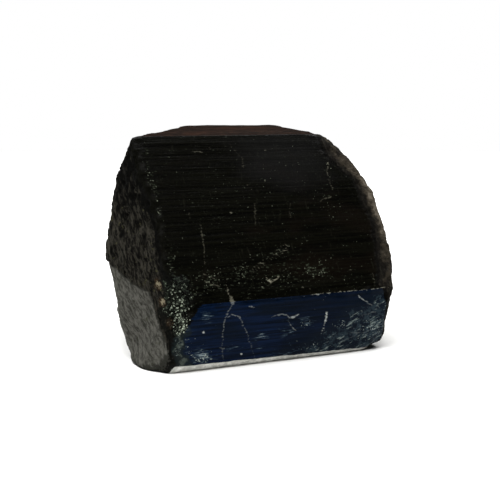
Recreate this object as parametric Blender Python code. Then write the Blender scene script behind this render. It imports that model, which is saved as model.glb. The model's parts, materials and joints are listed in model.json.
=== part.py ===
"""A broken stub of black tourmaline lying on one of its prism faces.

The crystal's long axis (its c axis) runs along X. The section across it is a rounded triangle
with its corners cut, as tourmaline grows: flat prism faces, each ribbed along the length. The
left end (-X) is a rough, blunt pyramid. The right end (+X) is a rough cross break whose upper
corner has come away. Metres, +Z up; -Y is the side with the narrow upright face.
"""

import math
import random

import bmesh
import bpy
from mathutils import Vector, geometry, noise

MM = 0.001
NODE = "tourmaline_crystal"

# Driving dimensions, in millimetres and degrees. A place is (along, depth, height): along the
# crystal from near its middle, back from its lower front edge, and up from the ground. A point
# of the section is (depth, height).

# The prism faces from the ground at the front, over the top, to the ground behind. Each one is
# (turn, width, bulge, rib spacing). Its turn is the way it faces, 0 to the front, 90 up and 180
# to the back. Its bulge is how far its middle stands out from flat.
PRISM_FACES = (
    (-30.0, 1.5, 0.0, 1.5),     # narrow foot under the upright face
    (3.0, 10.6, 0.15, 1.15),    # upright face at the front
    (30.0, 33.2, 0.45, 1.2),    # wide sloping face above it
    (82.5, 13.0, 0.30, 1.9),    # top
    (120.0, 8.5, 0.15, 2.0),    # shoulder behind the top
    (150.0, 14.0, 0.40, 2.0),   # upper back
    (181.0, 6.5, 0.10, 2.2),    # upright back
    (205.0, 15.5, 0.35, 2.2),   # lower back, leaning in
)
FOOT_BEHIND_TURN = 240.0        # last face, as wide as it takes to meet the ground
FOOT_BEHIND_SPACING = 2.2
UNDERSIDE_SPACING = 2.4
RIB_HEIGHT = 0.13               # how far ribs stand above and below their face
SECTION_MIDDLE = (20.0, 19.0)

# A facet of an end is (along, depth, height, change back, change up): a place on its plane, and
# how much further along the crystal the plane lies for each millimetre back and up.
LEFT_APEX = (-27.2, 19.0, 18.0)
LEFT_FACETS = (
    (*LEFT_APEX, -0.50, 0.17),          # front of the pyramid
    (*LEFT_APEX, 0.34, 0.16),           # back of the pyramid
    (*LEFT_APEX, 0.33, -0.29),          # undercut below it
    (-21.8, 16.8, 40.6, 0.95, 0.80),    # upper corner, cut back
)
RIGHT_FACETS = (
    (27.3, 6.0, 23.0, -0.12, 0.0),      # cross break
    (25.0, 11.6, 31.4, -0.05, -0.74),   # upper corner, come away
    (22.5, -0.3, 1.0, 0.0, 0.235),      # lower front, leaning in
    (24.0, 30.0, 20.0, -0.42, 0.05),    # back
)

# A hollow of an end is (depth, height, radius, how deep it is). A swelling has a depth below 0.
LEFT_HOLLOWS = (
    (0.0, 10.3, 3.6, 2.6),      # crumbled corner between the upright and the sloping face
    (5.0, 0.0, 4.5, -2.3),      # swelling at the lower front corner
    (10.0, 26.0, 5.5, 0.7),     # upper front facet
    (8.5, 4.5, 4.0, 0.7),       # lower front facet
    (29.0, 27.0, 6.0, 0.8),     # upper back facet
    (27.0, 8.0, 6.0, 0.9),      # undercut
)
RIGHT_HOLLOWS = (
    (12.0, 20.0, 8.0, 1.3),
    (26.0, 29.0, 6.5, -0.9),
    (31.0, 14.0, 6.0, 1.2),
    (10.0, 6.0, 5.0, 0.7),
)

# The ridge across the front of the left end, from the ground up to the apex.
RIDGE_FOOT = (0.0, 0.2)
RIDGE_HEIGHT = 0.8
RIDGE_WIDTH = 2.0

# How far from an end its rim is worn round, and how deep: lightly at the left, widely at the right.
LEFT_WEAR = (1.5, 0.3)
RIGHT_WEAR = (4.6, 1.2)

# Where the long faces have points: millimetres from each end, and a count between.
LEFT_STATIONS = (0.0, 0.7, 1.6, 3.0)
RIGHT_STATIONS = (0.0, 1.0, 2.2, 3.4, 4.8)
SPANS_BETWEEN = 13

# The net of triangles over a broken end.
NET_SPACING = 1.4
NET_JITTER = 0.3
NET_CLEAR_OF_RIM = 1.0

# The relief of a fresh break: (size, height) of its lumps, of its knobs and of its ledges.
LUMPS = (6.5, 0.75)
KNOBS = (2.6, 0.55)
LEDGES = (4.2, 0.7)
LEDGE_TURN = 38.0
LEDGE_BEND = (9.0, 5.0)
LEFT_SEED = 3.0
RIGHT_SEED = 31.0

# Chips and crushed places, on the long faces and their edges: (along, depth, height, radius, depth).
DENTS = (
    (-15.0, 0.3, 12.5, 3.0, 0.8),
    (-16.5, 1.6, 15.5, 2.6, 0.6),
    (-5.0, 0.0, 11.9, 1.2, 0.35),
    (12.0, 0.0, 11.9, 1.3, 0.35),
    (19.0, -0.2, 8.6, 3.2, 0.45),
    (14.5, -0.3, 5.0, 2.4, 0.35),
    (21.5, 0.0, 0.0, 2.6, 0.7),
    (21.0, 3.6, 18.0, 3.0, 0.35),
    (18.5, 9.0, 27.5, 2.2, 0.30),
    (-10.0, 41.0, 31.0, 4.0, 0.8),
    (12.0, 42.5, 19.0, 5.0, 0.9),
    (4.0, 36.0, 6.0, 4.5, 0.8),
)

# The faces behind grew against the rock: from this depth back, over a run, they turn uneven.
UNEVEN_FROM = 24.0
UNEVEN_RUN = 8.0
UNEVEN_SIZE = 3.2
UNEVEN_HEIGHT = 0.28

SCHORL_BLACK = (0.011, 0.011, 0.010, 1.0)
SCHORL_ROUGHNESS = 0.3


def section():
    """Return the ring of section points round the crystal, with ribs on every face but the base."""
    chance = random.Random(11)
    ring = []
    corner = Vector((0.0, 0.0))
    for turn, width, bulge, spacing in (*PRISM_FACES, (FOOT_BEHIND_TURN, 0.0, 0.0, FOOT_BEHIND_SPACING)):
        run = Vector((math.sin(math.radians(turn)), math.cos(math.radians(turn))))
        outward = Vector((-run.y, run.x))
        width = width or corner.y / -run.y
        count = round(width / spacing)
        ring.append(corner)
        for index in range(1, count):
            share = index / count
            rib = chance.uniform(-RIB_HEIGHT, RIB_HEIGHT)
            ring.append(corner + run * width * share + outward * (4.0 * bulge * share * (1.0 - share) + rib))
        corner = corner + run * width
    count = round(corner.x / UNDERSIDE_SPACING)
    ring += [Vector((corner.x * (1.0 - index / count), 0.0)) for index in range(count)]
    return ring


def break_relief(depth, height, seed):
    """Return how far a break's lumps, knobs and ledges stand out at a section point."""
    place = Vector((depth, height, seed))
    lump_size, lump_height = LUMPS
    knob_size, knob_height = KNOBS
    ledge_size, ledge_height = LEDGES
    bend_size, bend = LEDGE_BEND
    turn = math.radians(LEDGE_TURN + seed)
    across = depth * math.cos(turn) + height * math.sin(turn) + bend * noise.noise(place / bend_size)
    lump = lump_height * noise.noise(place / lump_size)
    knob = knob_height * (abs(noise.noise(place / knob_size)) - 0.25)
    ledge = ledge_height * ((across / ledge_size) % 1.0 - 0.5) * noise.noise(place / (3.0 * ledge_size))
    return lump + knob + ledge


def hollow_depth(hollows, depth, height):
    """Return how deep the hollows of an end are at a section point."""
    total = 0.0
    for hollow_back, hollow_up, radius, deep in hollows:
        away = math.hypot(depth - hollow_back, height - hollow_up) / radius
        total += deep * math.exp(-away * away)
    return total


def ridge_height(depth, height):
    """Return how far the left end's ridge stands out at a section point."""
    foot = Vector(RIDGE_FOOT)
    apex = Vector(LEFT_APEX[1:])
    point = Vector((depth, height))
    share = geometry.intersect_point_line(point, foot, apex)[1]
    share = min(max(share, 0.0), 1.0)
    away = (point - foot.lerp(apex, share)).length / RIDGE_WIDTH
    return RIDGE_HEIGHT * math.sin(math.pi * share) * math.exp(-away * away)


def plane_along(facet, depth, height):
    """Return where along the crystal a facet's plane lies at a section point."""
    along, back, up, change_back, change_up = facet
    return along + change_back * (depth - back) + change_up * (height - up)


def left_end(depth, height):
    """Return where along the crystal the left end's surface lies at a section point."""
    along = max(plane_along(facet, depth, height) for facet in LEFT_FACETS)
    along += hollow_depth(LEFT_HOLLOWS, depth, height)
    return along - ridge_height(depth, height) - break_relief(depth, height, LEFT_SEED)


def right_end(depth, height):
    """Return where along the crystal the right end's surface lies at a section point."""
    along = min(plane_along(facet, depth, height) for facet in RIGHT_FACETS)
    along -= hollow_depth(RIGHT_HOLLOWS, depth, height)
    return along + break_relief(depth, height, RIGHT_SEED)


def worn(point, from_end, wear):
    """Return a section point moved in towards the middle, as the worn rim of an end is."""
    reach, deep = wear
    middle = Vector(SECTION_MIDDLE)
    share = max(0.0, 1.0 - from_end / reach) ** 2
    return point.lerp(middle, deep * share / (point - middle).length)


def length_line(point):
    """Return the places along one line of the long faces, from the left end to the right."""
    left = left_end(*point)
    right = right_end(*point)
    line = []
    for from_end in LEFT_STATIONS:
        inner = worn(point, from_end, LEFT_WEAR)
        line.append((left + from_end if from_end else left_end(*inner), *inner))
    start = left + LEFT_STATIONS[-1]
    stop = right - RIGHT_STATIONS[-1]
    for index in range(1, SPANS_BETWEEN):
        line.append((start + (stop - start) * index / SPANS_BETWEEN, *point))
    for from_end in reversed(RIGHT_STATIONS):
        inner = worn(point, from_end, RIGHT_WEAR)
        line.append((right - from_end if from_end else right_end(*inner), *inner))
    return line


def add_long_faces(bm, lines):
    """Join each line of points to the next, all the way round the crystal."""
    for line, following in zip(lines, lines[1:] + lines[:1]):
        for index in range(len(line) - 1):
            bm.faces.new((line[index], line[index + 1], following[index + 1], following[index]))


def net_points(outline, seed):
    """Return points spread unevenly over a broken end, clear of its outline."""
    chance = random.Random(seed)
    row_height = NET_SPACING * math.sqrt(0.75)
    columns = int(max(point.x for point in outline) / NET_SPACING) + 2
    rows = int(max(point.y for point in outline) / row_height) + 1
    points = []
    for row in range(rows):
        for column in range(columns):
            depth = (column - 0.5 * (row % 2)) * NET_SPACING + chance.uniform(-NET_JITTER, NET_JITTER)
            height = row * row_height + chance.uniform(-NET_JITTER, NET_JITTER)
            point = Vector((depth, height))
            if all((point - edge).length > NET_CLEAR_OF_RIM for edge in outline):
                points.append(point)
    return points


def add_broken_end(bm, rim, surface, seed):
    """Close a rim with a net of triangles that follows the broken surface."""
    outline = [Vector((vert.co.y, vert.co.z)) for vert in rim]
    points = outline + net_points(outline, seed)
    inside_only = 1
    net = geometry.delaunay_2d_cdt(points, [], [range(len(rim))], inside_only, 0.0001)
    places, triangles, sources = net[0], net[2], net[3]
    verts = {}
    for corner in sorted({corner for triangle in triangles for corner in triangle}):
        source = sources[corner][0]
        if source < len(rim):
            verts[corner] = rim[source]
        else:
            depth, height = places[corner]
            verts[corner] = bm.verts.new((surface(depth, height), depth, height))
    for triangle in triangles:
        bm.faces.new([verts[corner] for corner in triangle])


def dent_depth(place):
    """Return how far a place of the surface is pressed in by chips and unevenness."""
    deep = 0.0
    for along, depth, height, radius, into in DENTS:
        away = (place - Vector((along, depth, height))).length / radius
        deep += into * math.exp(-away * away)
    behind = min(max((place.y - UNEVEN_FROM) / UNEVEN_RUN, 0.0), 1.0)
    off_ground = min(place.z, 1.0)
    return deep + UNEVEN_HEIGHT * behind * off_ground * noise.noise(place / UNEVEN_SIZE)


def press_dents(bm):
    """Press the dents in along the surface's own direction, and keep the underside on the ground."""
    bm.normal_update()
    pressed = [vert.co - vert.normal * dent_depth(vert.co) for vert in bm.verts]
    for vert, place in zip(bm.verts, pressed):
        vert.co = (place.x, place.y, max(place.z, 0.0))


def stand_at_origin(bm):
    """Centre the crystal over the origin, standing on the ground, and turn millimetres to metres."""
    along = [vert.co.x for vert in bm.verts]
    depth = [vert.co.y for vert in bm.verts]
    middle = Vector((min(along) + max(along), min(depth) + max(depth), 0.0)) / 2.0
    bmesh.ops.translate(bm, vec=-middle, verts=bm.verts)
    bmesh.ops.scale(bm, vec=(MM, MM, MM), verts=bm.verts)


def crystal_mesh():
    """Build the whole crystal as one closed mesh."""
    bm = bmesh.new()
    lines = [[bm.verts.new(place) for place in length_line(point)] for point in section()]
    add_long_faces(bm, lines)
    add_broken_end(bm, [line[0] for line in lines], left_end, 5)
    add_broken_end(bm, [line[-1] for line in lines], right_end, 6)
    bmesh.ops.recalc_face_normals(bm, faces=bm.faces)
    press_dents(bm)
    bmesh.ops.triangulate(bm, faces=bm.faces)
    stand_at_origin(bm)
    mesh = bpy.data.meshes.new(NODE)
    bm.to_mesh(mesh)
    bm.free()
    return mesh


def schorl():
    """Return the glassy black of schorl, the iron-rich tourmaline."""
    material = bpy.data.materials.new("schorl")
    material.use_nodes = True
    shader = material.node_tree.nodes["Principled BSDF"]
    shader.inputs["Base Color"].default_value = SCHORL_BLACK
    shader.inputs["Roughness"].default_value = SCHORL_ROUGHNESS
    shader.inputs["Metallic"].default_value = 0.0
    return material


for leftover in list(bpy.data.objects):
    bpy.data.objects.remove(leftover)
crystal = bpy.data.objects.new(NODE, crystal_mesh())
crystal.data.materials.append(schorl())
bpy.context.scene.collection.objects.link(crystal)
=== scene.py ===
# %% [markdown]
# # A broken stub of black tourmaline
#
# The object is one natural crystal of schorl, the black, iron-rich tourmaline, about 54 mm long.
# It lies on one of its prism faces. The imported model gives its size and main shape. Here it gets
# its fine relief and its finishes: striated glassy faces, a front face whose blue reflection is
# painted navy, rough broken ends, a crumbled corner, and the scuffs and cracks of a stone that has
# been dug up and handled.
#
# The first step loads the imported model. Everything after it is in the same frame: metres, +Z up,
# the crystal's length along X, the camera on the -Y side.

# %% Load the imported model
import json
import math
import random

import bmesh
import bpy
import numpy as np
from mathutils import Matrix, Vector, noise
from mathutils.bvhtree import BVHTree

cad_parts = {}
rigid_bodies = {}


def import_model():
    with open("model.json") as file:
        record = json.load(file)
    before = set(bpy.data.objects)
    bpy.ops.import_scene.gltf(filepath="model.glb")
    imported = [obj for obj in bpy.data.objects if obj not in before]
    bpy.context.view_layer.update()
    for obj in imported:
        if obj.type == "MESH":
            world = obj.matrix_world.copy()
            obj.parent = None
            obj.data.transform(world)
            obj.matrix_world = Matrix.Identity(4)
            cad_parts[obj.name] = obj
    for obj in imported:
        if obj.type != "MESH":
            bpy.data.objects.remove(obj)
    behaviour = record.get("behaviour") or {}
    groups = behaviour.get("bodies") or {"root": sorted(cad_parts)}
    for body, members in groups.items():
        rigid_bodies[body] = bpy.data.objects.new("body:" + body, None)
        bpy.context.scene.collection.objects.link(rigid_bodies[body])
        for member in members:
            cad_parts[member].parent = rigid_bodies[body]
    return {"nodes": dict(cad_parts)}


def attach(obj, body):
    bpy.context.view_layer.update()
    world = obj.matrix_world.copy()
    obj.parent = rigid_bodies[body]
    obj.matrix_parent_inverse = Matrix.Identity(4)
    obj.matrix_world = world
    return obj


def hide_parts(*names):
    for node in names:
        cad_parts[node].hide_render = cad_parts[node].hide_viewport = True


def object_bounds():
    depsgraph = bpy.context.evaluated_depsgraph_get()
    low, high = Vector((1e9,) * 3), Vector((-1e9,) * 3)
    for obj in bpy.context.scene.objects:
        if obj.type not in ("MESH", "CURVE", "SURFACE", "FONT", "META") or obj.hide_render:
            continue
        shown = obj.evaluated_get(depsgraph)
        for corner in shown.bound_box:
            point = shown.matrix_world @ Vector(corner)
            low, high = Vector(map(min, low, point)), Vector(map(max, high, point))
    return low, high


for leftover in list(bpy.data.objects):
    bpy.data.objects.remove(leftover)
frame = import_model()
MM = 0.001
NODE = "tourmaline_crystal"
cad_low, cad_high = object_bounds()
print("The crystal measures, in mm:", [round(side / MM, 1) for side in cad_high - cad_low])

# %% [markdown]
# ## Two small helpers
#
# Colours are picked as sRGB hex values, the way a paint program shows them. Blender's shaders
# work in linear light, so one function turns a hex value to linear. The other adds a shader node,
# sets it up and links it in one line, which keeps each material short enough to read.

# %% Colour and node helpers
def linear(hex_colour):
    """Turn "#rrggbb" in sRGB into the linear RGBA that shaders use."""
    channels = [int(hex_colour[start:start + 2], 16) / 255.0 for start in (1, 3, 5)]
    turned = [c / 12.92 if c <= 0.04045 else ((c + 0.055) / 1.055) ** 2.4 for c in channels]
    return (*turned, 1.0)


def add(tree, kind, inputs=None, **settings):
    """Add a node: settings are its properties, inputs its sockets, given as values or as links."""
    made = tree.nodes.new("ShaderNode" + kind)
    for name, value in settings.items():
        setattr(made, name, value)
    for name, value in (inputs or {}).items():
        if isinstance(value, bpy.types.NodeSocket):
            tree.links.new(value, made.inputs[name])
        else:
            made.inputs[name].default_value = value
    return made


print("Schorl black in linear light:", [round(c, 4) for c in linear("#0d0d09")])

# %% [markdown]
# ## Camera
#
# A small stone is looked at from close by, a little above it and from its left. The lens is
# longer than normal, so the long edges run together only gently.

# %% Place the camera
CAMERA_PLACE = (-0.0622, -0.1598, 0.0460)
CAMERA_PITCH = 80.505
CAMERA_TURN = -22.431
LENS = 61.56

camera_data = bpy.data.cameras.new("camera")
camera_data.lens = LENS
camera_data.clip_start = 0.005
camera = bpy.data.objects.new("camera", camera_data)
camera.location = CAMERA_PLACE
camera.rotation_euler = (math.radians(CAMERA_PITCH), 0.0, math.radians(CAMERA_TURN))
bpy.context.scene.collection.objects.link(camera)
bpy.context.scene.camera = camera
print("The camera stands", round(Vector(CAMERA_PLACE).length / MM), "mm from the crystal's middle.")

# %% [markdown]
# ## Floor and light
#
# Black glassy stone shows mostly what it mirrors. So the light is one large soft panel overhead,
# which the sloping front face doesn't mirror, with a small one behind at the right for the worn
# end, and the room round them is dim. The floor is a plain pale sheet. The wall is white for the
# camera alone, so it lights nothing. Standard is the plain view transform: it leaves dark colours
# as they are picked.

# %% Lay the floor and hang the lights
FLOOR_RADIUS = 0.75
FLOOR_WHITE = "#f2f2f0"
PANEL_PLACE = (-0.25, 0.12, 1.15)
PANEL_SIZE = 1.2
PANEL_POWER = 34.0
SIDE_PANEL_PLACE = (0.65, 0.30, 0.95)
SIDE_PANEL_SIZE = 0.6
SIDE_PANEL_POWER = 7.0
ROOM_GLOW = 0.02
PAPER_ROUGHNESS = 0.9

bm = bmesh.new()
bmesh.ops.create_circle(bm, cap_ends=True, segments=96, radius=FLOOR_RADIUS)
floor_mesh = bpy.data.meshes.new("floor")
bm.to_mesh(floor_mesh)
bm.free()
floor = bpy.data.objects.new("floor", floor_mesh)
bpy.context.scene.collection.objects.link(floor)
paper = bpy.data.materials.new("matt_white_paper")
paper.use_nodes = True
paper.node_tree.nodes["Principled BSDF"].inputs["Base Color"].default_value = linear(FLOOR_WHITE)
paper.node_tree.nodes["Principled BSDF"].inputs["Roughness"].default_value = PAPER_ROUGHNESS
paper.node_tree.nodes["Principled BSDF"].inputs["Specular IOR Level"].default_value = 0.0
floor_mesh.materials.append(paper)


def hang_panel(name, place, size, power):
    """Hang a square soft light that faces the crystal."""
    data = bpy.data.lights.new(name, "AREA")
    data.size = size
    data.energy = power
    panel = bpy.data.objects.new(name, data)
    panel.location = place
    panel.rotation_euler = (-Vector(place)).to_track_quat("-Z", "Y").to_euler()
    bpy.context.scene.collection.objects.link(panel)


hang_panel("overhead_panel", PANEL_PLACE, PANEL_SIZE, PANEL_POWER)
hang_panel("side_panel", SIDE_PANEL_PLACE, SIDE_PANEL_SIZE, SIDE_PANEL_POWER)

world = bpy.data.worlds.new("studio")
world.use_nodes = True
tree = world.node_tree
tree.nodes.clear()
ray = add(tree, "LightPath")
glow = add(tree, "Background", {"Color": (1.0, 1.0, 1.0, 1.0), "Strength": ROOM_GLOW})
paper_wall = add(tree, "Background", {"Color": (1.0, 1.0, 1.0, 1.0), "Strength": 1.0})
chosen_by = {"Fac": ray.outputs["Is Camera Ray"], 1: glow.outputs[0], 2: paper_wall.outputs[0]}
both = add(tree, "MixShader", chosen_by)
add(tree, "OutputWorld", {"Surface": both.outputs[0]})
bpy.context.scene.world = world
bpy.context.scene.view_settings.view_transform = "Standard"
print("The overhead panel is", PANEL_SIZE, "m across, and", PANEL_PLACE[2], "m up.")

# %% [markdown]
# ## Where each face lies
#
# A tourmaline prism has long flat faces that meet at edges parallel to its length. Going round the
# section from the lower front edge, each face goes on from the last by its own width, the way it
# faces. That gives the corners of the section, in millimetres, which let later steps ask which face
# a point is on, and how far up the front it is, measured over the surface.

# %% Name the faces round the section
LOWER_FRONT_CORNER = (-21.46, 0.0)      # (depth, height) where the front meets the ground
SLOPE_TURN = 30.0                       # how far the sloping face leans back
# Each face is its name, the way it faces (0 to the front, 90 up, 180 to the back) and its width.
FACES = (
    ("foot", -30.0, 1.5),
    ("upright", 3.0, 10.6),
    ("slope", SLOPE_TURN, 33.2),
    ("top", 82.5, 13.0),
    ("shoulder", 120.0, 8.5),
    ("upper_back", 150.0, 14.0),
    ("upright_back", 181.0, 6.5),
    ("lower_back", 205.0, 15.5),
    ("foot_behind", 240.0, 10.8),
)
FACE_NAMES = [name for name, turn, width in FACES] + ["underside"]

corners = [np.array(LOWER_FRONT_CORNER)]
for name, turn, width in FACES:
    run = np.array((math.sin(math.radians(turn)), math.cos(math.radians(turn))))
    corners.append(corners[-1] + width * run)
corners = np.array(corners)
slope_start = corners[FACE_NAMES.index("slope")]
FRONT_EDGE = slope_start[1]             # height of the edge between the upright and the sloping face


def nearest_face(places):
    """Return the index of the prism face that each place lies nearest to."""
    distances = []
    for start, stop in zip(corners, np.roll(corners, -1, axis=0)):
        run = stop - start
        share = np.clip((places[:, 1:] - start) @ run / (run @ run), 0.0, 1.0)
        distances.append(np.linalg.norm(places[:, 1:] - start - share[:, None] * run, axis=1))
    return np.argmin(distances, axis=0)


def edge_distance(places):
    """Return how far each place is from the nearest prism edge, in mm across the crystal."""
    return np.min([np.linalg.norm(places[:, 1:] - corner, axis=1) for corner in corners], axis=0)


def up_the_front(places):
    """Return how far up the front each place is, over the upright face and then the sloping one."""
    height = places[:, 2]
    return np.where(height < FRONT_EDGE, height,
                    FRONT_EDGE + (height - FRONT_EDGE) / math.cos(math.radians(SLOPE_TURN)))


def ease(values, start, stop):
    """Rise smoothly from 0 at start to 1 at stop."""
    share = np.clip((values - start) / (stop - start), 0.0, 1.0)
    return share * share * (3.0 - 2.0 * share)


print("Faces round the section:", ", ".join(FACE_NAMES))

# %% [markdown]
# ## A finer copy of the crystal
#
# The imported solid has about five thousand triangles. Fine relief needs more points to move, so a
# copy is merged and its long edges are halved until they are short enough. Striae run along the
# length, so a long face may keep points further apart along it than across it, and the far side
# may be coarser than the front. Before that, each point notes how much it belongs to a break, by
# how its faces lean towards the ends, and the note is carried on to the new points.

# %% Copy the crystal and halve its long edges
ACROSS_FRONT = 0.33         # longest gap between points, in mm
ACROSS_BEHIND = 0.75
ON_BREAKS = 0.68
STRETCH = 2.2               # how much longer a gap may be along the crystal
FRONT_DEPTH = -3.0          # in front of this, a face is seen from the front
MOST_HALVINGS = 7
MERGE_DISTANCE = 0.001
BREAK_LEAN = (0.30, 0.62)   # lean towards an end at which a face starts to be a break, and is one


def merged_copy(node):
    """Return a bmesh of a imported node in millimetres, with its loose triangles joined."""
    bm = bmesh.new()
    bm.from_mesh(node.data)
    bmesh.ops.scale(bm, vec=(1.0 / MM,) * 3, verts=bm.verts)
    bmesh.ops.remove_doubles(bm, verts=bm.verts, dist=MERGE_DISTANCE)
    bm.normal_update()
    return bm


def note_breaks(bm):
    """Note on each point how much it belongs to a broken end, from 0 to 1."""
    layer = bm.verts.layers.float.new("broken")
    for vert in bm.verts:
        lean = sum(abs(face.normal.x) for face in vert.link_faces) / len(vert.link_faces)
        vert[layer] = float(ease(np.float64(lean), *BREAK_LEAN))


def point_places(bm):
    """Return the places of all points as an array, and number the points in the same order."""
    bm.verts.index_update()
    return np.array([vert.co[:] for vert in bm.verts])


def halve_long_edges(bm, longest):
    """Halve every edge over the length that longest() allows it, until none is left."""
    layer = bm.verts.layers.float["broken"]
    for turn in range(MOST_HALVINGS):
        places = point_places(bm)
        broken = np.array([vert[layer] for vert in bm.verts])
        edges = list(bm.edges)
        ends = np.array([(edge.verts[0].index, edge.verts[1].index) for edge in edges])
        span = np.abs(places[ends[:, 0]] - places[ends[:, 1]])
        middle = (places[ends[:, 0]] + places[ends[:, 1]]) / 2.0
        share = (broken[ends[:, 0]] + broken[ends[:, 1]]) / 2.0
        span[:, 0] /= STRETCH + (1.0 - STRETCH) * np.minimum(1.0, 2.0 * share)
        over = np.nonzero(np.linalg.norm(span, axis=1) > longest(middle, share))[0]
        if not len(over):
            return
        long_edges = [edges[index] for index in over]
        bmesh.ops.subdivide_edges(bm, edges=long_edges, cuts=1, use_single_edge=True)
        bmesh.ops.triangulate(bm, faces=[face for face in bm.faces if len(face.verts) > 3])


def longest_gap(middle, share):
    """Return the longest edge allowed at each place."""
    face = np.where(middle[:, 1] < FRONT_DEPTH, ACROSS_FRONT, ACROSS_BEHIND)
    return face + (ON_BREAKS - face) * np.minimum(1.0, 2.0 * share)


bm = merged_copy(frame["nodes"][NODE])
stone = BVHTree.FromBMesh(bm)
note_breaks(bm)
print("Merged copy:", len(bm.verts), "points,", len(bm.faces), "triangles")
halve_long_edges(bm, longest_gap)
print("Fine copy:", len(bm.verts), "points,", len(bm.faces), "triangles")

# %% [markdown]
# ## What the camera sees where
#
# Cracks, chips and worn borders follow no rule, so each is set down where the camera should see it:
# at places in its picture, in pixels right and down, when the picture is 500 pixels wide and high.
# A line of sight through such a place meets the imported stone, and that gives the real place.

# %% Look through the camera
PICTURE_SIDE = 500
SIGHT_DEPTH = PICTURE_SIDE * LENS / camera_data.sensor_width


def seen(right, down):
    """Return the place on the stone, in mm, that the camera sees there in its picture."""
    sight = Vector((right - PICTURE_SIDE / 2, PICTURE_SIDE / 2 - down, -SIGHT_DEPTH))
    sight.rotate(camera.rotation_euler)
    return stone.ray_cast(camera.location / MM, sight.normalized())[0]


def on_front(route):
    """Return a route in the picture as (along the crystal, up the front), in mm."""
    places = np.array([seen(*place) for place in route])
    return list(zip(places[:, 0], up_the_front(places)))


print("In the middle of the picture is, in mm:", [round(side, 1) for side in seen(250, 250)])

# %% [markdown]
# ## Marks on the front
#
# A stone that has been handled carries healed cracks, bruises and nicks, which show pale on black
# glass. Each is a stroke: its half-width in millimetres, its lightness, and the places that it runs
# through in the picture. Nearness to a stroke is measured for every point of the mesh and kept as
# an attribute, so the material can draw the mark in colour. The marks are thin, so the edges near
# them are halved again first. Flecks that crowd together, clouds and the short scuffs on the
# upright face are too many to place one by one: each group has a middle, a size and a density.

# %% Place the cracks, scuffs and spots
STROKES = (
    # The healed crack that forks into an arch on the upright face.
    (0.09, 0.44, ((226.5, 280), (227, 288), (228.5, 295), (231.5, 300.5))),
    (0.32, 0.46, ((231, 296.5), (232.5, 302))),
    (0.11, 0.41, ((232.5, 304.5), (227.5, 313), (223.5, 323), (223, 338.5))),
    (0.09, 0.31, ((223, 338.5), (222, 348.5), (223, 359))),
    (0.10, 0.46, ((226.5, 317), (233, 314.5), (240, 317), (243, 323.5))),
    (0.09, 0.39, ((243, 323.5), (246.5, 331.5), (250, 342))),
    (0.09, 0.28, ((250, 342), (255.5, 358))),
    # Bruises and nicks on the upright face.
    (0.20, 0.78, ((327, 313), (325.5, 321.5))),
    (0.14, 0.62, ((325.5, 321.5), (322, 334.5))),
    (0.09, 0.41, ((272, 317), (281.5, 314.5))),
    (0.12, 0.44, ((281.5, 314.5), (288.5, 316))),
    (0.15, 0.70, ((288, 316), (291.5, 318), (298.5, 315.5))),
    (0.12, 0.44, ((288.5, 321.5), (293, 327), (295.5, 330))),
    (0.14, 0.63, ((358.5, 295.5), (363.5, 300))),
    (0.10, 0.44, ((363.5, 300), (371.5, 305.5))),
    (0.09, 0.29, ((354.5, 321.5), (363, 314.5), (375.5, 311.5))),
    (0.09, 0.27, ((347, 333), (361.5, 333), (374.5, 328.5), (380, 321.5))),
    (0.09, 0.25, ((340, 343), (351.5, 337), (358.5, 333))),
    (0.10, 0.44, ((248.5, 307), (254.5, 307))),
    (0.15, 0.30, ((219.5, 348.5), (224, 348.5))),
    # A bright chip and faint scratches on the sloping face.
    (0.18, 0.61, ((266.5, 278), (270, 281.5), (275.5, 280))),
    (0.14, 0.53, ((275.5, 280), (279, 277))),
    (0.11, 0.45, ((270, 281.5), (271, 286))),
    (0.11, 0.25, ((373, 273), (374.5, 287))),
    (0.11, 0.30, ((202, 228), (204, 240), (204.5, 253))),
    (0.11, 0.30, ((204.5, 256), (205.5, 265))),
    (0.11, 0.30, ((329.5, 164.5), (327, 171.5), (330, 181.5), (333.5, 189.5))),
    (0.11, 0.25, ((291, 202), (291, 217.5))),
    (0.11, 0.25, ((189.5, 211.5), (190.5, 219.5))),
    (0.11, 0.30, ((192, 152), (202, 152))),
    (0.11, 0.25, ((229.5, 144.5), (242, 158), (244.5, 167.5))),
    (0.11, 0.25, ((255.5, 204), (256.5, 229))),
    (0.11, 0.30, ((320, 201.5), (332, 196.5))),
    (0.11, 0.30, ((203, 273), (209, 277), (215.5, 278.5))),
    (0.11, 0.30, ((204.5, 281.5), (220, 287))),
)
SPOTS = (
    (0.17, 0.80, ((241.5, 353.5), (203.5, 332))),
    (0.14, 0.55, ((196, 339), (195.5, 280), (251.5, 306.5))),
    (0.18, 0.44, ((252, 189.5), (231.5, 212.5), (201.5, 226), (329, 163), (290, 244.5))),
    (0.16, 0.36, ((232, 226.5), (248.5, 185), (315, 218.5), (326.5, 210), (265.5, 181), (333, 234.5))),
    (0.16, 0.36, ((209.5, 148), (265, 150), (232.5, 228), (303, 287), (310, 288.5), (351.5, 270))),
)
# A scuff like a fishbone: short strokes side by side, rising to the right.
FISHBONE = ((253.5, 270.5), (288, 246))
FISHBONE_STROKES = 16
FISHBONE_WIDTH = 0.07
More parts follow.
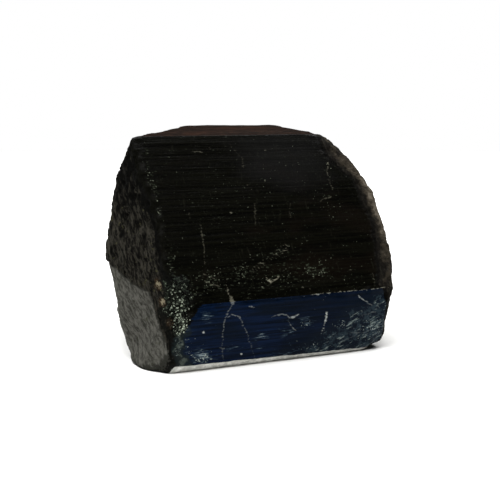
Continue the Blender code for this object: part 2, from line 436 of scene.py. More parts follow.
# Where pale flecks crowd together, in mm: (along, up the front, half-length, half-height, density).
CROWDS = (
    (0.0, 16.0, 17.0, 3.6, 0.40),
    (9.0, 16.4, 3.6, 1.6, 0.80),
    (-12.0, 16.0, 3.4, 2.4, 0.65),
    (-5.6, 17.2, 1.8, 1.8, 0.70),
    (1.2, 20.2, 4.2, 1.6, 0.40),
    (20.0, 4.6, 4.6, 3.4, 0.80),
    (14.0, 5.8, 2.6, 1.2, 0.85),
    (5.8, 6.4, 1.6, 0.9, 0.90),
    (6.5, 2.2, 5.0, 1.4, 0.50),
    (-14.8, 2.4, 2.8, 1.5, 0.90),
    (-16.0, 13.6, 1.6, 1.8, 0.75),
    (-17.4, 4.5, 1.2, 3.6, 0.75),
    (-19.0, 19.5, 1.6, 3.5, 0.60),
    (-19.8, 31.0, 1.1, 12.0, 0.60),
    (14.5, 31.0, 3.5, 4.5, 0.25),
    (-3.0, 33.5, 9.0, 9.0, 0.12),
)
# Where short scuffs run along the upright face, in the same measures.
SCUFFS = ((-13.4, 9.7, 1.7, 1.3, 1.0), (-14.6, 2.8, 2.8, 1.7, 0.95), (-3.2, 5.0, 2.4, 1.1, 0.85),
          (-2.4, 2.9, 2.0, 0.6, 0.8), (-9.0, 3.5, 2.2, 0.6, 0.8), (2.4, 5.6, 2.2, 1.8, 0.8),
          (0.5, 1.4, 4.5, 0.8, 0.6), (-17.0, 7.6, 1.0, 1.2, 0.7), (6.0, 7.0, 2.5, 1.2, 0.6))
# Where the upright face is clouded to slate grey, in the same measures.
CLOUDS = ((-15.0, 2.2, 2.6, 1.6, 0.7), (-4.2, 4.6, 1.6, 2.0, 0.45), (22.6, 13.5, 2.0, 3.2, 0.9))
CLOUD_START = -1.0      # along the crystal, where the large cloud starts at the ground
CLOUD_LEAN = 1.75       # how much further along it starts for each mm higher

BEND = 0.22             # how far a stroke strays from its straight line, in mm
BEND_LENGTH = 0.7

chance = random.Random(2)
marks = [(width, light, on_front(route)) for width, light, route in STROKES]
for width, light, spots in SPOTS:
    marks += [(width, light, on_front([spot])) for spot in spots]
fishbone = on_front(FISHBONE)
for index in range(FISHBONE_STROKES):
    share = index / (FISHBONE_STROKES - 1)
    middle = [start + share * (stop - start) for start, stop in zip(*fishbone)]
    lean = chance.uniform(-0.40, -0.25)
    reach = chance.uniform(0.25, 0.60)
    ends = ((middle[0] - lean, middle[1] - reach), (middle[0] + lean, middle[1] + reach))
    marks.append((FISHBONE_WIDTH, chance.uniform(0.20, 0.48), ends))


def near_stroke(along, up, width, route):
    """Return how near each point is to a stroke: 1 on it, 0 at twice its half-width and beyond."""
    nearest = np.full(len(along), 1.0e9)
    for start, stop in zip(route, route[1:] or route):
        run = np.array(stop) - np.array(start)
        away = np.stack([along - start[0], up - start[1]], axis=1)
        share = np.clip(away @ run / max(run @ run, 1.0e-9), 0.0, 1.0)
        nearest = np.minimum(nearest, np.linalg.norm(away - share[:, None] * run, axis=1))
    return np.clip(1.0 - nearest / (2.0 * width), 0.0, 1.0)


def wander(places, size, height, seed):
    """Return noise at each place: size in mm, the same each run."""
    shift = Vector((seed, 0.0, 0.0))
    return np.array([height * noise.noise(Vector(place) / size + shift) for place in places])


def marked(places):
    """Return how near each point is to its nearest mark, and how light that mark is."""
    along = places[:, 0] + wander(places, BEND_LENGTH, BEND, 60.0)
    up = up_the_front(places) + wander(places, BEND_LENGTH, BEND, 70.0)
    nearness = np.zeros(len(along))
    lightness = np.zeros(len(along))
    for width, light, route in marks:
        near = near_stroke(along, up, width, route)
        lightness = np.where(near > nearness, light, lightness)
        nearness = np.maximum(nearness, near)
    return nearness, lightness


def crowding(along, up, groups):
    """Return the density of a list of groups at each point, each fading out from its middle."""
    density = np.zeros(len(along))
    for centre_along, centre_up, half_length, half_height, most in groups:
        away = ((along - centre_along) / half_length) ** 2 + ((up - centre_up) / half_height) ** 2
        density = np.maximum(density, most * np.exp(-away))
    return density


print(len(marks), "marks on the front")

# %% Halve the edges near the marks
NEAR_MARKS = 0.17           # longest gap near a mark, in mm
ANY_GAP = 9.0               # longer than any gap that is left, so such an edge stays


def longest_near_marks(middle, share):
    """Return the longest edge allowed at each place, shorter where a mark runs."""
    nearness, lightness = marked(middle)
    return np.where((nearness > 0.02) & (middle[:, 1] < FRONT_DEPTH), NEAR_MARKS, ANY_GAP)


halve_long_edges(bm, longest_near_marks)
print("Finer near the marks:", len(bm.verts), "points,", len(bm.faces), "triangles")

# %% [markdown]
# ## Soften, then cut the relief
#
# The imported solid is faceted. A few rounds of smoothing round the facets of the breaks. One round
# takes the hardness off the prism edges, and many more, kept clear of the edges, soften the ribs
# between them. The front is glassy, so there the ribs are then pressed almost flat, each point
# moving towards the plane of its own face, and fine striae take their place.

# %% Soften the facets
BREAK_ROUNDS = 5
EDGE_ROUNDS = 1
FACE_ROUNDS = 40
CLEAR_OF_EDGE = 0.7         # points this close to a prism edge are softened only with the edges
FLATTEN_RUN = 3.0           # how far from a prism edge the front is pressed flat in full
RIBS_LOST = 0.85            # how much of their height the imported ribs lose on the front
GROUND_LAYER = 0.02         # points lower than this are on the ground, and stay there
MOSTLY = 0.5                # a share over this counts as belonging


def soften(points, rounds):
    """Smooth the given points by half, a number of times."""
    for turn in range(rounds):
        bmesh.ops.smooth_vert(bm, verts=points, factor=0.5, use_axis_x=True, use_axis_y=True,
                              use_axis_z=True)


broken_layer = bm.verts.layers.float["broken"]
rough_points = [vert for vert in bm.verts if vert[broken_layer] > MOSTLY]
flat_points = [vert for vert in bm.verts if vert[broken_layer] <= MOSTLY and vert.co.z > GROUND_LAYER]
away = edge_distance(point_places(bm))
inner_points = [vert for vert in flat_points if away[vert.index] > CLEAR_OF_EDGE]
soften(rough_points, BREAK_ROUNDS)
soften(flat_points, EDGE_ROUNDS)
soften(inner_points, FACE_ROUNDS)

places = point_places(bm)
broken = np.array([vert[broken_layer] for vert in bm.verts])
nearest = nearest_face(places)
starts = corners[nearest]
runs = np.roll(corners, -1, axis=0)[nearest] - starts
outward = np.stack([runs[:, 1], -runs[:, 0]], axis=1) / np.linalg.norm(runs, axis=1)[:, None]
proud = ((places[:, 1:] - starts) * outward).sum(axis=1)
flatten = RIBS_LOST * (places[:, 1] < FRONT_DEPTH) * (1.0 - broken)
flatten *= ease(away, CLEAR_OF_EDGE, FLATTEN_RUN)
places[:, 1:] -= (flatten * proud)[:, None] * outward
for vert, place in zip(bm.verts, places):
    vert.co = place
bm.normal_update()
print(len(rough_points), "points are on the breaks and", len(flat_points), "on the faces.")
most_proud = float(np.abs(proud[flatten > MOSTLY]).max())
print("The front lay up to", round(most_proud, 2), "mm off its flat faces.")

# %% [markdown]
# The masks say what each point belongs to. The right end is worn far back over the edges, along a
# wavy border, and its rim is pale where it shows beside the front. A paler grey covers the left end
# below its ridge, which runs from the ground at the front up to the blunt tip. The crumbled corner
# is where the left end meets the front edge, and a crumbled seam goes on down from it along the
# border of the navy face.

# %% Measure the masks
# Each border is seen for part of its way, as places in the picture, and set in mm for the rest.
WORN_SEEN = ((325.5, 155), (345, 173), (354.5, 181), (365, 205.5), (373.5, 227), (375.5, 255), (378, 285))
WORN_TOP = ((16.4, 46.0),)                      # (along, up the front)
WORN_FOOT = ((22.9, 11.3), (23.6, 0.0))
RIDGE_FOOT = ((-22.6, 1.2), (-22.2, 2.6))       # (depth, height) over the left end
RIDGE_SEEN = ((170, 350), (164, 333), (158, 318), (153, 303), (148, 290), (135, 283), (127, 277), (118, 270))
RIDGE_BEHIND = ((-3.0, 17.6), (6.0, 15.5), (14.0, 11.0), (22.5, 4.0))
BLUE_FOOT = ((-17.9, 0.0), (-18.2, 2.4), (-18.7, 4.7))      # (along, up the front)
BLUE_SEEN = ((181, 340), (184, 332), (188, 325), (192, 318), (196, 312), (200, 307), (208, 303))
# Each stain is its middle in the picture, its radius in mm and its strength.
STAINS = (((158, 284), 1.3, 1.0), ((162, 303), 1.2, 1.0), ((168, 325), 1.8, 0.6))
GREY_END_SUNK = 0.25                    # how much lower the grey lower part of the left end lies than the rock above it
CRUMBLE_MIDDLE = (-18.8, -20.0, 12.4)
CRUMBLE_HALF = (3.1, 5.4, 5.8)      # half-length, half-depth, half-height
SWAYS = ((2.4, 1.0, 40.0), (0.8, 0.5, 50.0))    # size, height and seed of the waves in every border
# Each pair is where a mask starts and where it is full, in mm past its border unless a comment
# says otherwise. Where it ends, the pair is where it is still full and where it is gone.
WORN_FADE = (-0.9, 0.7)
WORN_BEHIND = (20.5, 22.0)          # along the crystal, on the faces that the front doesn't show
FRONT_FADE = (1.0, 7.0)             # behind the front, where it stops counting as close
RIM_FADE = (-1.6, 2.4)
RIM_LEAST = 0.7                     # how pale the rim is, where it isn't palest
RIM_PALEST = (27.0, 8.0)            # height, and half-height
LEFT_END = (8.0, 12.0)              # left of the middle
GREY_END_FADE = (-0.1, 0.5)
CRUMBLE_FADE = (0.65, 1.15)         # it ends here, as shares of the half-sizes
GLASSY_FADE = (0.3, 2.0)            # it ends here, behind the sloping face, along its left edge
GLASSY_FROM = (13.0, 17.0)          # height
SEAM_FADE = (0.6, 2.8)              # it ends here, away from the border of the navy face
SEAM_TOP = (6.5, 10.0)              # up the front, where the seam ends

places = point_places(bm)
normals = np.array([vert.normal[:] for vert in bm.verts])
broken = np.array([vert[broken_layer] for vert in bm.verts])
along = places[:, 0]
up = up_the_front(places)
front = (places[:, 1] < FRONT_DEPTH).astype(float)
sway = sum(wander(places, *waves) for waves in SWAYS)
worn_border = np.array([*WORN_TOP, *on_front(WORN_SEEN), *WORN_FOOT])[::-1]
beyond = along - np.interp(up, worn_border[:, 1], worn_border[:, 0])
worn_in_front = ease(beyond + 0.6 * sway, *WORN_FADE)
worn_behind = ease(along + 0.8 * sway, *WORN_BEHIND)
worn = np.where(front > 0.0, worn_in_front, worn_behind)
lean = math.radians(SLOPE_TURN)
back, rise = (places[:, 1:] - slope_start).T
behind_slope = back * math.cos(lean) - rise * math.sin(lean)
behind_front = np.where(rise > 0.0, behind_slope, back)
close_to_front = 1.0 - ease(behind_front + 1.2 * sway, *FRONT_FADE)
rim = close_to_front * ease(beyond + 0.5 * sway, *RIM_FADE)
palest = np.exp(-((places[:, 2] - RIM_PALEST[0]) / RIM_PALEST[1]) ** 2)
rim *= RIM_LEAST + (1.0 - RIM_LEAST) * palest

ridge = np.array([*RIDGE_FOOT, *[seen(*place).yz for place in RIDGE_SEEN], *RIDGE_BEHIND])
ridge_height = np.interp(places[:, 1], ridge[:, 0], ridge[:, 1])
left = ease(-along, *LEFT_END)
grey_lower_end = left * broken * ease(ridge_height - places[:, 2] + 0.4 * sway, *GREY_END_FADE)

crumble_away = (places - np.array(CRUMBLE_MIDDLE)) / np.array(CRUMBLE_HALF)
crumble = 1.0 - ease(np.linalg.norm(crumble_away, axis=1) + 0.35 * sway, *CRUMBLE_FADE)
glassy_rim = left * (1.0 - ease(behind_slope + 0.7 * sway, *GLASSY_FADE))
glassy_rim *= ease(places[:, 2], *GLASSY_FROM)
blue_border = np.array([*BLUE_FOOT, *on_front(BLUE_SEEN)])
to_blue = along - np.interp(up, blue_border[:, 1], blue_border[:, 0])
seam = front * (1.0 - ease(np.abs(to_blue + 1.2 * sway), *SEAM_FADE)) * (1.0 - ease(up, *SEAM_TOP))
broken = np.maximum(np.maximum(broken, worn), crumble)
print("Share of points on breaks, skin and crumbled corner:",
      [round(float(mask.mean()), 3) for mask in (broken, grey_lower_end, crumble)])

# %% [markdown]
# Now each point moves along its own direction. Striae are noise stretched along the crystal.
# Breaks get lumps, splinters and grit, less of it where they are worn or on the grey lower part of
# the left end. Where the breaks turn away from the front they also have shell-shaped hollows, as
# glassy stone breaks.

# %% Cut the relief
STRIAE = (0.030, 46.0, 0.85)        # height, length and spacing in mm
FINE_STRIAE = (0.012, 20.0, 0.38)
FRONT_CALM = 0.6                    # how much of their height the striae lose on the front
LUMPS = (0.38, 2.4)                 # height and size in mm
SPLINTERS = (0.30, 1.0)
GRIT = (0.14, 0.5)
SHELLS = (0.55, 5.0)                # shell-shaped hollows of the breaks where the front doesn't show
SHELLS_BEHIND = (5.0, 10.0)         # at the right end: where they start, and are full, behind the front
SHELLS_ALONG = (15.0, 20.0)         # and along the crystal
SHELLS_DEPTH = (-6.0, 2.0)          # at the left end: the same, by depth
GREY_END_SHARE = 0.45                   # how much of a break's relief is left on the grey lower part of the left end
EDGE_CHIPS = 18
EDGE_CHIP = (0.25, 0.6, 0.06, 0.20)     # smallest and largest radius, least and most depth
CHIPPED_FROM = -14.0                # the front edge is chipped from here, over a run, more to the right
CHIPPED_RUN = 35.0
CHIPPED_DEPTH = -21.7               # depth of the chips' middles, at the front edge
CHIP_STRAY = 0.25                   # how far above or below the edge a chip may lie


def striae(place, height, length, spacing):
    """Return the height of one set of striae."""
    return height * noise.noise(Vector((place[0] / length, place[1] / spacing, place[2] / spacing)))


def break_height(place):
    """Return how far a fresh break stands out at a place."""
    lump = LUMPS[0] * noise.noise(Vector(place) / LUMPS[1])
    splinter = SPLINTERS[0] * (0.5 - 2.0 * abs(noise.noise(Vector(place) / SPLINTERS[1])))
    grit = GRIT[0] * noise.noise(Vector(place) / GRIT[1])
    return lump + splinter + grit


shells_right = ease(behind_front, *SHELLS_BEHIND) * ease(along, *SHELLS_ALONG)
shells = np.maximum(shells_right, left * ease(places[:, 1], *SHELLS_DEPTH))
long_relief = np.array([striae(place, *STRIAE) + striae(place, *FINE_STRIAE) for place in places])
long_relief *= 1.0 - FRONT_CALM * front
break_relief = np.array([break_height(place) if share > 0.0 else 0.0
                         for place, share in zip(places, broken)])
break_relief *= 1.0 - (1.0 - GREY_END_SHARE) * np.maximum(grey_lower_end, worn * close_to_front)
relief = (1.0 - broken) * long_relief + broken * break_relief
relief -= GREY_END_SUNK * grey_lower_end
folds = np.abs(wander(places, SHELLS[1], 1.0, 80.0))
relief += shells * broken * (1.0 - grey_lower_end) * SHELLS[0] * (0.4 - 2.0 * folds)

chance = random.Random(4)
bruise = np.zeros(len(places))
for index in range(EDGE_CHIPS):
    share = math.sqrt(chance.random())
    height = FRONT_EDGE + chance.uniform(-CHIP_STRAY, CHIP_STRAY)
    middle = np.array((CHIPPED_FROM + CHIPPED_RUN * share, CHIPPED_DEPTH, height))
    radius = chance.uniform(*EDGE_CHIP[:2]) * (0.6 + 0.5 * share)
    close = np.exp(-((places - middle) ** 2).sum(axis=1) / radius ** 2)
    relief -= chance.uniform(*EDGE_CHIP[2:]) * close
    bruise = np.maximum(bruise, close)

moved = places + normals * relief[:, None]
moved[:, 2] = np.where(places[:, 2] < GROUND_LAYER, 0.0, np.maximum(moved[:, 2], 0.0))
low = np.array(cad_low) / MM
high = np.array(cad_high) / MM
moved = np.clip(moved, low, high)
for vert, place in zip(bm.verts, moved):
    vert.co = place
print("The relief is up to", round(float(np.abs(relief).max()), 2), "mm high.")

# %% [markdown]
# ## Write the masks onto the mesh
#
# Each mask becomes a named attribute on the mesh's points. A shader reads it with an Attribute
# node, so colour follows the surface from every side.

# %% Make the mesh and its attributes
PALE_STRIP_TOP = ((-20.4, -19.6, 21.0, 22.0), (0.0, 1.35, 0.55, 0.0))   # along, and up the front
FOOT_DEPTH = -21.3      # the pale strip is only in front of this
SHARP_ANGLE = 38.0      # edges that turn more than this are shaded sharp
UPRIGHT_FADE = (-0.3, 0.1)          # up the front from its edge, where the upright face ends
CLOUD_FADE = (-5.0, 7.0)            # along the crystal from where the large cloud starts
EDGE_LINE = 0.14                    # half-width of the rubbed line on the front edge
EDGE_RUBBED = (-2.0, 12.0)          # along, from where it is rubbed less to where it is rubbed more
PAINTED_SHEEN = (8.0, 12.0, 40.0, 8.0)       # along and half-length, up the front and half-height of the painted sheen
WARM_ALONG = (-7.0, 9.0)            # along, from where the black is plain to where it is warmest
WARM_UP = (26.0, 40.0)              # up the front, from where it is warmest to where it is plain
DARK_TOP = (22.0, 34.0)             # height, on the left end
PALE_STRIP_FADE = 0.15                  # half-width of the pale strip's soft upper border

nearness, lightness = marked(places)
crowd = crowding(along, up, CROWDS) * front
upright = 1.0 - ease(up - FRONT_EDGE, *UPRIGHT_FADE)
cloud = upright * ease(along - CLOUD_START - CLOUD_LEAN * up + 2.5 * sway, *CLOUD_FADE)
cloud = np.maximum(cloud, crowding(along, up, CLOUDS)) * front
edge_line = np.exp(-((places[:, 2] - FRONT_EDGE) / EDGE_LINE) ** 2) * front
bruise = np.maximum(0.7 * bruise, edge_line * (0.45 + 0.45 * ease(along, *EDGE_RUBBED)))
# Painted sheen: the sloping face is painted paler high at its right, where its glass mirrors the light.
painted_sheen = np.exp(-((along - PAINTED_SHEEN[0]) / PAINTED_SHEEN[1]) ** 2 - ((up - PAINTED_SHEEN[2]) / PAINTED_SHEEN[3]) ** 2) * front
warm = ease(along, *WARM_ALONG) * (1.0 - ease(up, *WARM_UP)) * front
dark_top = left * ease(places[:, 2], *DARK_TOP)
# A pale grey strip is laid along the foot of the front, in front of FOOT_DEPTH.
pale_strip_top = np.interp(along, *PALE_STRIP_TOP) + 0.12 * sway
pale_foot_strip = (1.0 - ease(up - pale_strip_top, -PALE_STRIP_FADE, PALE_STRIP_FADE)) * (places[:, 1] < FOOT_DEPTH)
stain = np.zeros(len(places))
for middle, radius, strength in STAINS:
    away = np.linalg.norm(places - np.array(seen(*middle)), axis=1) / radius
    stain = np.maximum(stain, strength * np.exp(-away * away) * (1.0 + 0.4 * sway))
ATTRIBUTES = {
    "broken_share": broken * (1.0 - 0.7 * glassy_rim * (1.0 - crumble)) * (1.0 - 0.1 * dark_top),
    "pale_foot_strip": pale_foot_strip,
    "grey_lower_end": grey_lower_end,
    "rim": rim,
    "crumble": crumble,
    "stain": stain,
    "mark": nearness * front,
    "mark_light": lightness ** 2,
    "crowd": crowd,
    "scuff": crowding(along, up, SCUFFS) * front,
    "seam": seam,
    "shells": shells * broken,
    "cloud": cloud,
    "bruise": bruise,
    "painted_sheen": painted_sheen,
    "warm": warm,
}

bmesh.ops.scale(bm, vec=(MM,) * 3, verts=bm.verts)
bm.normal_update()
crystal_mesh = bpy.data.meshes.new("fine_tourmaline")
bm.to_mesh(crystal_mesh)
bm.free()
for name, values in ATTRIBUTES.items():
    attribute = crystal_mesh.attributes.new(name, "FLOAT", "POINT")
    attribute.data.foreach_set("value", values.astype(np.float32))
crystal_mesh.shade_smooth()
crystal_mesh.set_sharp_from_angle(angle=math.radians(SHARP_ANGLE))
crystal = bpy.data.objects.new("fine_tourmaline_crystal", crystal_mesh)
bpy.context.scene.collection.objects.link(crystal)
print("Attributes:", ", ".join(ATTRIBUTES))

# %% [markdown]
# ## Finishes of the crystal
#
# All the finishes are schorl, with an IOR of 1.63. What differs is how the light is taken in and
# scattered: a glassy growth face is nearly black and smooth, a fresh break is rough, and the lower
# part of the left end is grey and dull. One function builds them, since cracks, flecks and bruises
# run over all of them, and each finish gives it its own colours and gloss.

# %% List the patterns and the layers
SCHORL_IOR = 1.63
BREAK_ROUGHNESS = 0.75
BUMP_STRENGTH = 0.6
RAGGEDNESS = 2.4            # how much grain there is in the edge of a mark or a bruise
MARK_START, MARK_FULL = 1.55, 2.20      # the levels where a mark starts to show, and shows in full
BRUISE_START, BRUISE_FULL = 1.85, 2.25
MOST_BRUISE = 0.35
# Each pattern is noise: its spacing in mm along X, Y and Z, its detail and roughness, and its turn.
PATTERNS = {
    "striae": ((14.0, 0.45, 0.45), 5.0, 0.72, (0.0, 0.0, 0.0)),
    "patches": ((11.0, 5.0, 5.0), 2.0, 0.55, (0.0, 0.0, 0.0)),
    "across": ((0.4, 2.6, 2.6), 3.0, 0.6, (0.0, 0.0, 0.0)),
    "grain": ((0.8, 0.32, 0.32), 3.0, 0.6, (0.0, 0.0, 0.0)),
    "streaks": ((2.0, 0.24, 0.24), 3.0, 0.6, (0.0, 0.0, 0.0)),
    "speckle": ((0.36, 0.36, 0.36), 1.0, 0.5, (0.0, 0.0, 0.0)),
    "knobs": ((1.3, 1.3, 1.3), 4.0, 0.65, (0.0, 0.0, 0.0)),
    "mottle": ((0.9, 0.9, 0.9), 5.0, 0.72, (0.0, 0.0, 0.0)),
    "fibres": ((0.5, 0.5, 2.6), 5.0, 0.7, (30.0, 0.0, 0.0)),
    "splinters": ((0.8, 1.7, 0.4), 5.0, 0.7, (-43.0, 0.0, 0.0)),
    "wisps": ((2.4, 0.6, 0.45), 4.0, 0.65, (0.0, 20.0, 0.0)),
}
# Each layer is a colour, laid where a pattern, lifted by a mask, passes from one level to another:
# (colour, pattern, mask, lift, start, stop, most).
ROCK = (
    ("#030302", "mottle", "broken_share", 1.0, 0.85, 1.15, 1.0),
    ("#32302a", "fibres", "broken_share", 1.0, 1.40, 1.66, 1.0),
    ("#3c3b28", "knobs", "broken_share", 1.0, 1.60, 1.70, 0.9),
    ("#1d140d", "patches", "broken_share", 1.0, 1.58, 1.72, 0.5),
    ("#0b0a08", "patches", "shells", 1.0, 1.40, 1.62, 0.8),
    ("#3b382f", "mottle", "shells", 0.9, 1.42, 1.56, 0.7),
    ("#12100d", "mottle", "rim", 1.0, 0.70, 1.10, 0.8),
    ("#353028", "knobs", "rim", 1.0, 1.12, 1.38, 0.8),
    ("#544d43", "grain", "rim", 1.0, 1.30, 1.50, 0.5),
    ("#756d61", "knobs", "rim", 1.0, 1.42, 1.54, 0.45),
    ("#2a2a26", "speckle", "grey_lower_end", 1.0, 0.90, 1.20, 1.0),
    ("#52514c", "splinters", "grey_lower_end", 1.0, 1.36, 1.62, 1.0),
    ("#33342a", "knobs", "grey_lower_end", 1.0, 1.58, 1.72, 0.8),
    ("#080907", "speckle", "crumble", 1.0, 0.90, 1.20, 0.9),
    ("#2c3229", "mottle", "crumble", 1.0, 1.50, 1.60, 0.8),
    ("#6f7a69", "speckle", "crumble", 1.0, 1.64, 1.72, 0.7),
    ("#141b1c", "mottle", "seam", 1.0, 1.00, 1.40, 0.8),
    ("#454c46", "mottle", "seam", 1.0, 1.44, 1.60, 0.8),
    ("#8e9a98", "grain", "seam", 1.0, 1.57, 1.70, 0.7),
    ("#2b2016", "mottle", "stain", 1.0, 0.90, 1.30, 0.8),
    ("#8a826c", "grain", "stain", 1.0, 1.18, 1.40, 0.75),
)
GLASS = (
    # The next two layers are painted sheen: paler grey high on the right of the sloping face.
    ("#1b1b15", "across", "painted_sheen", 0.06, 0.62, 0.72, 0.3),
    ("#161616", "patches", "painted_sheen", 0.8, 0.60, 1.30, 0.6),
    ("#16272b", "mottle", "cloud", 0.50, 0.86, 1.10, 0.8),
    ("#24281f", "grain", "crowd", 0.20, 0.64, 0.74, 0.7),
    ("#454a3e", "grain", "crowd", 0.20, 0.70, 0.80, 0.7),
    ("#6a6f60", "speckle", "crowd", 0.20, 0.75, 0.85, 0.9),
)
CLOUDY = (
    ("#0b131c", "knobs", "cloud", 0.8, 0.60, 1.20, 0.7),
    ("#27333a", "mottle", "cloud", 0.40, 0.84, 1.00, 0.8),
    ("#737e7b", "wisps", "cloud", 0.35, 0.92, 1.00, 0.85),
    ("#3a4a57", "streaks", "scuff", 0.30, 0.70, 0.86, 0.7),
    ("#8b989b", "streaks", "scuff", 0.30, 0.82, 0.92, 0.8),
    ("#3f4d56", "grain", "crowd", 0.25, 0.72, 0.84, 0.7),
    ("#8d9793", "speckle", "crowd", 0.25, 0.80, 0.90, 0.9),
)
print(len(PATTERNS), "patterns;", len(ROCK), "layers for the breaks")

# %% Build one finish
def crystal_finish(name, base, layers, mark, gloss, roughness, ribs):
    """Return a finish: base colour, layers over it, colour of marks, gloss, roughness, ribs in mm."""
    material = bpy.data.materials.new(name)
    material.use_nodes = True
    tree = material.node_tree
    shader = tree.nodes["Principled BSDF"]
    shader.inputs["IOR"].default_value = SCHORL_IOR
    shader.inputs["Specular IOR Level"].default_value = gloss
    place = add(tree, "TexCoord").outputs["Object"]
    masks = {title: add(tree, "Attribute", attribute_name=title).outputs["Fac"] for title in ATTRIBUTES}
    noises = {}
    for title, (spacing, detail, rough, turn) in PATTERNS.items():
        turn = [math.radians(angle) for angle in turn]
        scale = [1.0 / (side * MM) for side in spacing]
        turned = add(tree, "Mapping", {"Vector": place, "Rotation": turn}).outputs[0]
        laid = add(tree, "Mapping", {"Vector": turned, "Scale": scale}).outputs[0]
        settings = {"Vector": laid, "Scale": 1.0, "Detail": detail, "Roughness": rough}
        noises[title] = add(tree, "TexNoise", settings).outputs["Fac"]

    colour = add(tree, "RGB").outputs[0]
    colour.default_value = linear(base)
    for tone, pattern, mask, lift, start, stop, most in layers:
        lifted = add(tree, "Math", {0: masks[mask], 1: lift, 2: noises[pattern]}, operation="MULTIPLY_ADD")
        limits = {"Value": lifted.outputs[0], "From Min": start, "From Max": stop, "To Max": most}
        share = add(tree, "MapRange", limits, interpolation_type="SMOOTHSTEP").outputs[0]
        colours = {"Factor": share, 6: colour, 7: linear(tone)}
        colour = add(tree, "Mix", colours, data_type="RGBA").outputs[2]

    sums = {0: noises["grain"], 1: RAGGEDNESS, 2: masks["mark"]}
    ragged = add(tree, "Math", sums, operation="MULTIPLY_ADD").outputs[0]
    limits = {"Value": ragged, "From Min": MARK_START, "From Max": MARK_FULL}
    drawn = add(tree, "MapRange", limits, interpolation_type="SMOOTHSTEP").outputs[0]
    drawn = add(tree, "Math", {0: drawn, 1: masks["mark_light"]}, operation="MULTIPLY").outputs[0]
    sums = {0: noises["grain"], 1: RAGGEDNESS, 2: masks["bruise"]}
    ragged = add(tree, "Math", sums, operation="MULTIPLY_ADD").outputs[0]
    limits = {"Value": ragged, "From Min": BRUISE_START, "From Max": BRUISE_FULL, "To Max": MOST_BRUISE}
    nicked = add(tree, "MapRange", limits, interpolation_type="SMOOTHSTEP").outputs[0]
    share = add(tree, "Math", {0: drawn, 1: nicked}, operation="MAXIMUM").outputs[0]
    colours = {"Factor": share, 6: colour, 7: linear(mark)}
    colour = add(tree, "Mix", colours, data_type="RGBA").outputs[2]
    tree.links.new(colour, shader.inputs["Base Color"])

    dull = {"Value": masks["broken_share"], "To Min": roughness, "To Max": BREAK_ROUGHNESS}
    tree.links.new(add(tree, "MapRange", dull).outputs[0], shader.inputs["Roughness"])
    rugged = {0: noises["mottle"], 1: masks["broken_share"], 2: noises["striae"]}
    height = add(tree, "Math", rugged, operation="MULTIPLY_ADD").outputs[0]
    bump = add(tree, "Bump", {"Height": height, "Distance": ribs * MM, "Strength": BUMP_STRENGTH})
    tree.links.new(bump.outputs[0], shader.inputs["Normal"])
    return material


print("One function makes every finish of the crystal.")

# %% Make the finishes
# Where a layer's lift is 0, its mask has no effect and the pattern alone lays the colour.
BLACK_GLASS = (
    ("#090905", "striae", "painted_sheen", 0.0, 0.38, 0.64, 1.0),
    ("#100b07", "patches", "warm", 0.20, 0.58, 0.80, 0.4),
    ("#161610", "across", "warm", 0.0, 0.62, 0.72, 0.4),
)
# Painted reflection: the navy base and these layers paint the blue that the black upright face mirrors.
NAVY_REFLECTION = (
    ("#0b1b36", "striae", "painted_sheen", 0.0, 0.30, 0.75, 1.0),
    ("#07121f", "patches", "painted_sheen", 0.0, 0.50, 0.70, 0.6),
    ("#040a12", "patches", "warm", 0.35, 0.50, 0.76, 0.6),
)
BROWN = (
    ("#1a100a", "striae", "painted_sheen", 0.0, 0.30, 0.75, 1.0),
    ("#23130b", "patches", "painted_sheen", 0.0, 0.50, 0.70, 0.7),
    ("#38271d", "streaks", "painted_sheen", 0.0, 0.50, 0.66, 0.5),
)
OTHER_FACES = (
    ("#1c1b15", "across", "painted_sheen", 0.0, 0.60, 0.70, 0.5),
    ("#1e1d18", "patches", "painted_sheen", 0.0, 0.56, 0.76, 0.4),
    ("#5a594c", "speckle", "painted_sheen", 0.0, 0.74, 0.82, 0.7),
)
# Pale grey to white colours for the strip along the foot of the front.
PALE_FOOT_STRIP = (
    ("#b4b4ae", "mottle", "pale_foot_strip", 1.0, 0.85, 1.15, 1.0),
    ("#dcdcd6", "knobs", "pale_foot_strip", 1.0, 1.40, 1.65, 1.0),
    ("#6c6c66", "wisps", "pale_foot_strip", 1.0, 1.58, 1.72, 0.7),
)
FINISHES = {
    "striated_schorl": crystal_finish("striated_schorl", "#020201", BLACK_GLASS + OTHER_FACES + ROCK,
                                      "#b9b59f", 0.10, 0.22, 0.25),
    "handled_schorl": crystal_finish("handled_schorl", "#020201", BLACK_GLASS + GLASS + ROCK + PALE_FOOT_STRIP,
                                     "#b9b59f", 0.035, 0.30, 0.12),
    # The navy base paints a blue reflection over the black of the upright face.
    "navy_painted_reflection": crystal_finish("navy_painted_reflection", "#01060f", NAVY_REFLECTION + CLOUDY + ROCK + PALE_FOOT_STRIP,
                                       "#c6ccc8", 0.02, 0.34, 0.12),
    "broken_schorl": crystal_finish("broken_schorl", "#030301", BLACK_GLASS + ROCK,
                                    "#b9b6a4", 0.02, 0.5, 0.12),
    "brown_weathered_schorl": crystal_finish("brown_weathered_schorl", "#080504", BROWN + ROCK,
                                             "#8f8a80", 0.015, 0.6, 0.12),
}
for finish in FINISHES.values():
    crystal_mesh.materials.append(finish)
print("Finishes:", ", ".join(FINISHES))

# %% Give each face its finish
FINISH_OF_FACE = {"foot": "navy_painted_reflection", "upright": "navy_painted_reflection", "slope": "handled_schorl",
                  "top": "brown_weathered_schorl", "underside": "broken_schorl"}
BLUE_WAVE = 0.5             # how far the navy face's left border strays, in mm
BLUE_WAVE_LENGTH = 0.9

